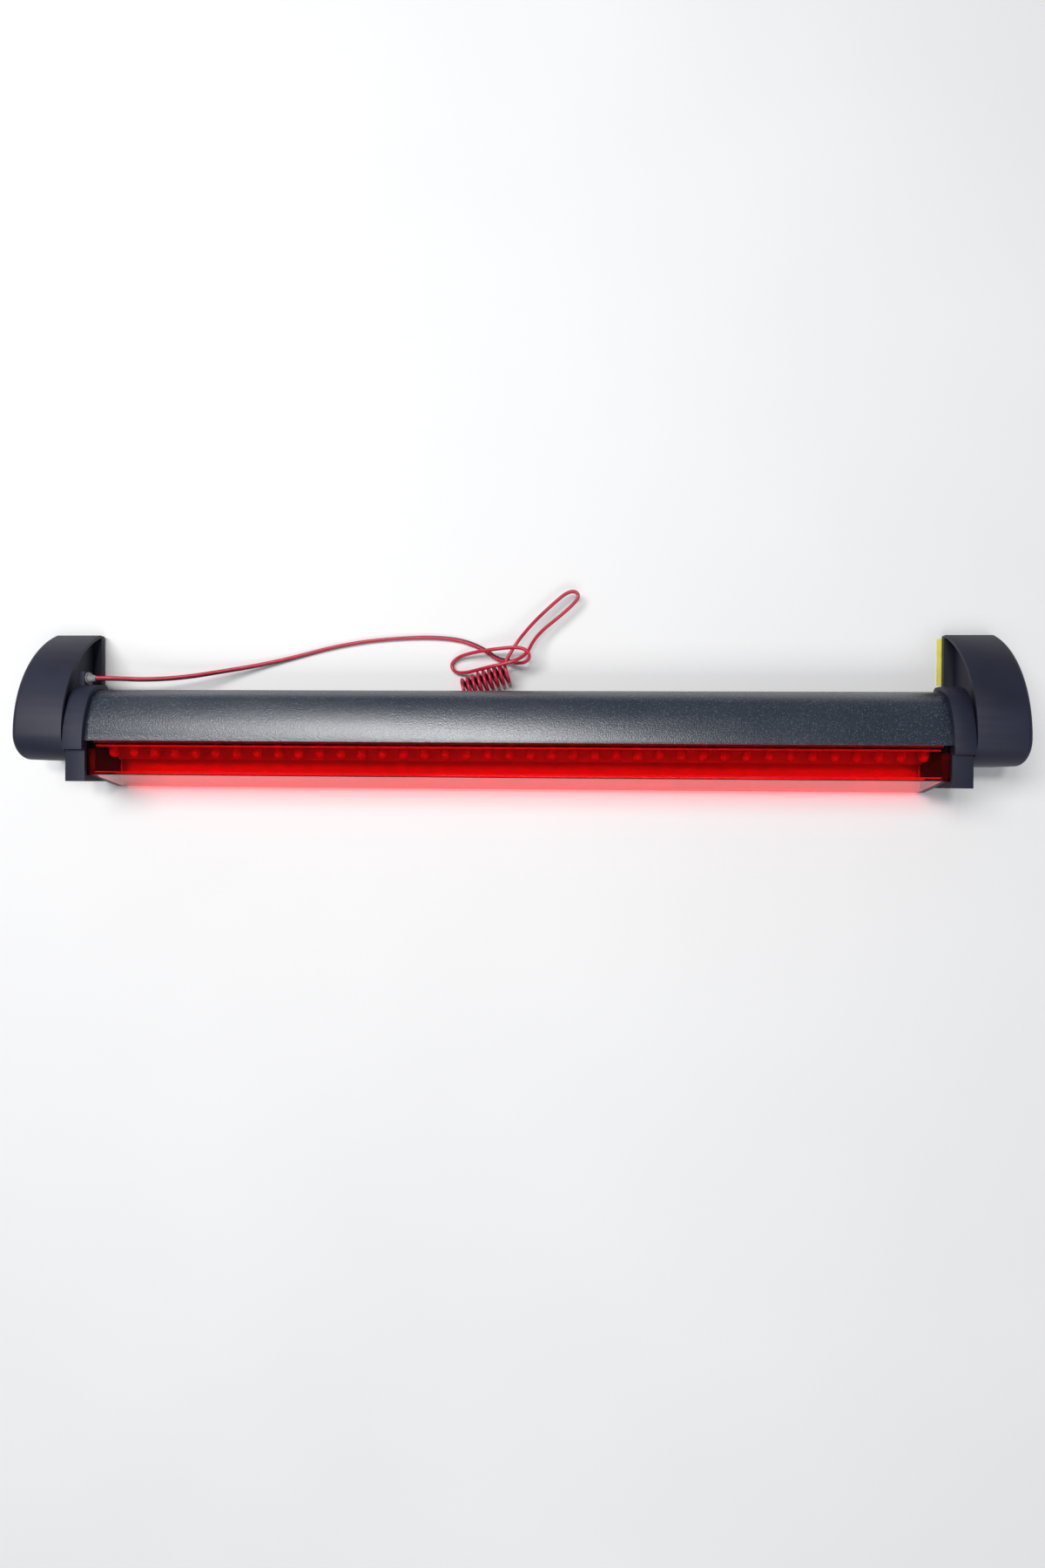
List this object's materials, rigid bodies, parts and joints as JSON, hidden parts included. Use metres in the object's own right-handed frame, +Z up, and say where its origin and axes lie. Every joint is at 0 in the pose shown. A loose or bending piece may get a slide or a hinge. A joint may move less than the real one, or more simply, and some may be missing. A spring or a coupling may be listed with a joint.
{
  "type": "third brake light",
  "caption": "Slim third brake light bar with a long clear red lens, a rounded satin black hood, two swivelling stick-down feet and a thin wrapped lead.",
  "frame": {"origin": "bottom centre of the lamp and its feet, without the free lead, on the plane that the feet stand on", "axes": "+X along the bar to the right end, -Y towards the side the lens faces, +Z up from the adhesive faces"},
  "size_m": [0.4816, 0.1016, 0.0395],
  "materials": {
    "satin_hood": "satin, fine metallic grain",
    "red_lens": "clear gloss",
    "black_plastic": "matte moulded",
    "board_green": "solder mask",
    "led_red": "clear gloss",
    "inner_plastic": "gloss",
    "component_body": "lacquer",
    "solder": "bright",
    "seal_rubber": "matte",
    "grommet_grey": "matte",
    "brass": "satin",
    "bare_copper": "bright",
    "steel": "zinc plated",
    "foam": "closed-cell foam",
    "yellow_liner": "waxed film",
    "lead_red": "satin jacket"
  },
  "bodies": {
    "lamp_bar": {"board_clips": "inner_plastic", "cable_grommet": "grommet_grey", "hood": "satin_hood", "inner_leads": "lead_red", "lead_bare_ends": "bare_copper", "lead_big_loop": "lead_red", "lead_run": "lead_red", "lead_small_loop": "lead_red", "lead_tail": "lead_red", "lead_wraps": "lead_red", "led_board": "board_green", "led_domes": "led_red", "left_cap_screws": "steel", "left_end_cap": "black_plastic", "left_end_gasket": "seal_rubber", "left_pivot_insert": "brass", "left_pivot_screw": "steel", "left_wave_washer": "steel", "lens": "red_lens", "polarity_diode": "component_body", "rear_tray": "black_plastic", "reflector_strip": "inner_plastic", "right_cap_screws": "steel", "right_end_cap": "black_plastic", "right_end_gasket": "seal_rubber", "right_pivot_insert": "brass", "right_pivot_screw": "steel", "right_wave_washer": "steel", "series_resistors": "component_body", "solder_joints": "solder"},
    "left_foot": {"left_foot_shell": "black_plastic", "left_base_plate": "black_plastic", "left_plate_screws": "steel", "left_foam_pad": "foam", "left_adhesive_liner": "yellow_liner", "left_pivot_washer": "steel", "left_screw_plug": "black_plastic"},
    "right_foot": {"right_foot_shell": "black_plastic", "right_base_plate": "black_plastic", "right_plate_screws": "steel", "right_foam_pad": "foam", "right_adhesive_liner": "yellow_liner", "right_pivot_washer": "steel", "right_screw_plug": "black_plastic"}
  },
  "joints": [
    {"name": "left_foot_swivel", "type": "hinge", "parent": "lamp_bar", "child": "left_foot", "pos_m": [-0.2154, -0.0108, 0.021], "axis": [1, 0, 0], "range_deg": [-5, 40]},
    {"name": "right_foot_swivel", "type": "hinge", "parent": "lamp_bar", "child": "right_foot", "pos_m": [0.2154, -0.0108, 0.021], "axis": [1, 0, 0], "range_deg": [-5, 40]}
  ]
}
